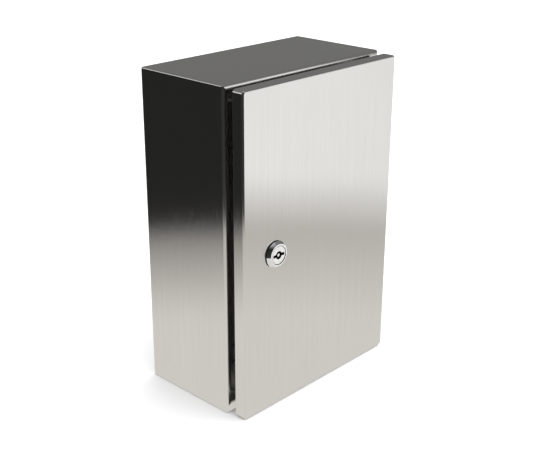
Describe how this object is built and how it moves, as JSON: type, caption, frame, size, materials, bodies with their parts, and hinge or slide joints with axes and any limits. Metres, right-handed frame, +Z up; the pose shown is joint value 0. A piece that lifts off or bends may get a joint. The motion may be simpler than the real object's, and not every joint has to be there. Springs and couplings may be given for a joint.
{
  "type": "wall-mounting switchboard cabinet",
  "caption": "Wall-mounting enclosure of brushed stainless sheet, with a hinged flanged door, a quarter-turn lock, a mounting plate inside and a gland plate in the base.",
  "frame": {"origin": "centre of the back face, which lies on the wall", "axes": "+Z up, +Y out of the back face into the wall, +X to the right seen from the front; the door faces -Y"},
  "size_m": [0.2, 0.1266, 0.3],
  "materials": {
    "stainless": "vertically brushed stainless sheet, grain about 240",
    "bare_steel": "plain stainless, turned or rolled",
    "hinge_steel": "cast and tumbled stainless",
    "chrome": "polished chromed zinc",
    "zinc_plate": "bright zinc plate",
    "black_plastic": "black moulded polyamide",
    "gasket_foam": "foamed polyurethane with a closed skin",
    "seal_rubber": "black nitrile rubber"
  },
  "bodies": {
    "cabinet": {"body_shell": "stainless", "wall_hole_plug_upper_left": "black_plastic", "wall_hole_plug_upper_right": "black_plastic", "wall_hole_plug_lower_left": "black_plastic", "wall_hole_plug_lower_right": "black_plastic", "hinge_hole_plug_1": "black_plastic", "hinge_hole_plug_2": "black_plastic", "hinge_hole_plug_3": "black_plastic", "hinge_hole_plug_4": "black_plastic", "hinge_fixed_half_upper": "hinge_steel", "hinge_pin_upper": "hinge_steel", "hinge_backing_plate_upper": "zinc_plate", "hinge_fixed_half_lower": "hinge_steel", "hinge_pin_lower": "hinge_steel", "hinge_backing_plate_lower": "zinc_plate", "hinge_screw_upper_top": "zinc_plate", "hinge_screw_upper_bottom": "zinc_plate", "hinge_screw_lower_top": "zinc_plate", "hinge_screw_lower_bottom": "zinc_plate", "mounting_plate": "zinc_plate", "plate_stud_upper_left": "bare_steel", "plate_stud_upper_right": "bare_steel", "plate_stud_lower_left": "bare_steel", "plate_stud_lower_right": "bare_steel", "plate_washer_upper_left": "zinc_plate", "plate_washer_upper_right": "zinc_plate", "plate_washer_lower_left": "zinc_plate", "plate_washer_lower_right": "zinc_plate", "plate_nut_upper_left": "zinc_plate", "plate_nut_upper_right": "zinc_plate", "plate_nut_lower_left": "zinc_plate", "plate_nut_lower_right": "zinc_plate", "gland_plate": "bare_steel", "gland_gasket": "gasket_foam", "gland_stud_rear_left": "bare_steel", "gland_stud_rear_right": "bare_steel", "gland_stud_front_left": "bare_steel", "gland_stud_front_right": "bare_steel", "gland_nut_rear_left": "zinc_plate", "gland_nut_rear_right": "zinc_plate", "gland_nut_front_left": "zinc_plate", "gland_nut_front_right": "zinc_plate", "body_earth_stud": "bare_steel", "body_earth_nut": "zinc_plate"},
    "door": {"door_panel": "stainless", "door_gasket": "gasket_foam", "hinge_door_half_upper": "hinge_steel", "hinge_door_half_lower": "hinge_steel", "lock_housing": "chrome", "lock_seal": "seal_rubber", "lock_nut": "zinc_plate", "door_earth_stud": "bare_steel", "door_earth_nut": "zinc_plate"},
    "lock": {"lock_rotor": "chrome", "lock_cam": "zinc_plate", "lock_cam_screw": "zinc_plate"}
  },
  "joints": [
    {"name": "door_hinge", "type": "hinge", "parent": "cabinet", "child": "door", "pos_m": [0.0965, -0.1075, 0], "axis": [0, 0, 1], "range_deg": [0, 120]},
    {"name": "lock_turn", "type": "hinge", "parent": "door", "child": "lock", "pos_m": [-0.06, -0.11, 0], "axis": [0, 1, 0], "range_deg": [0, 90]}
  ]
}
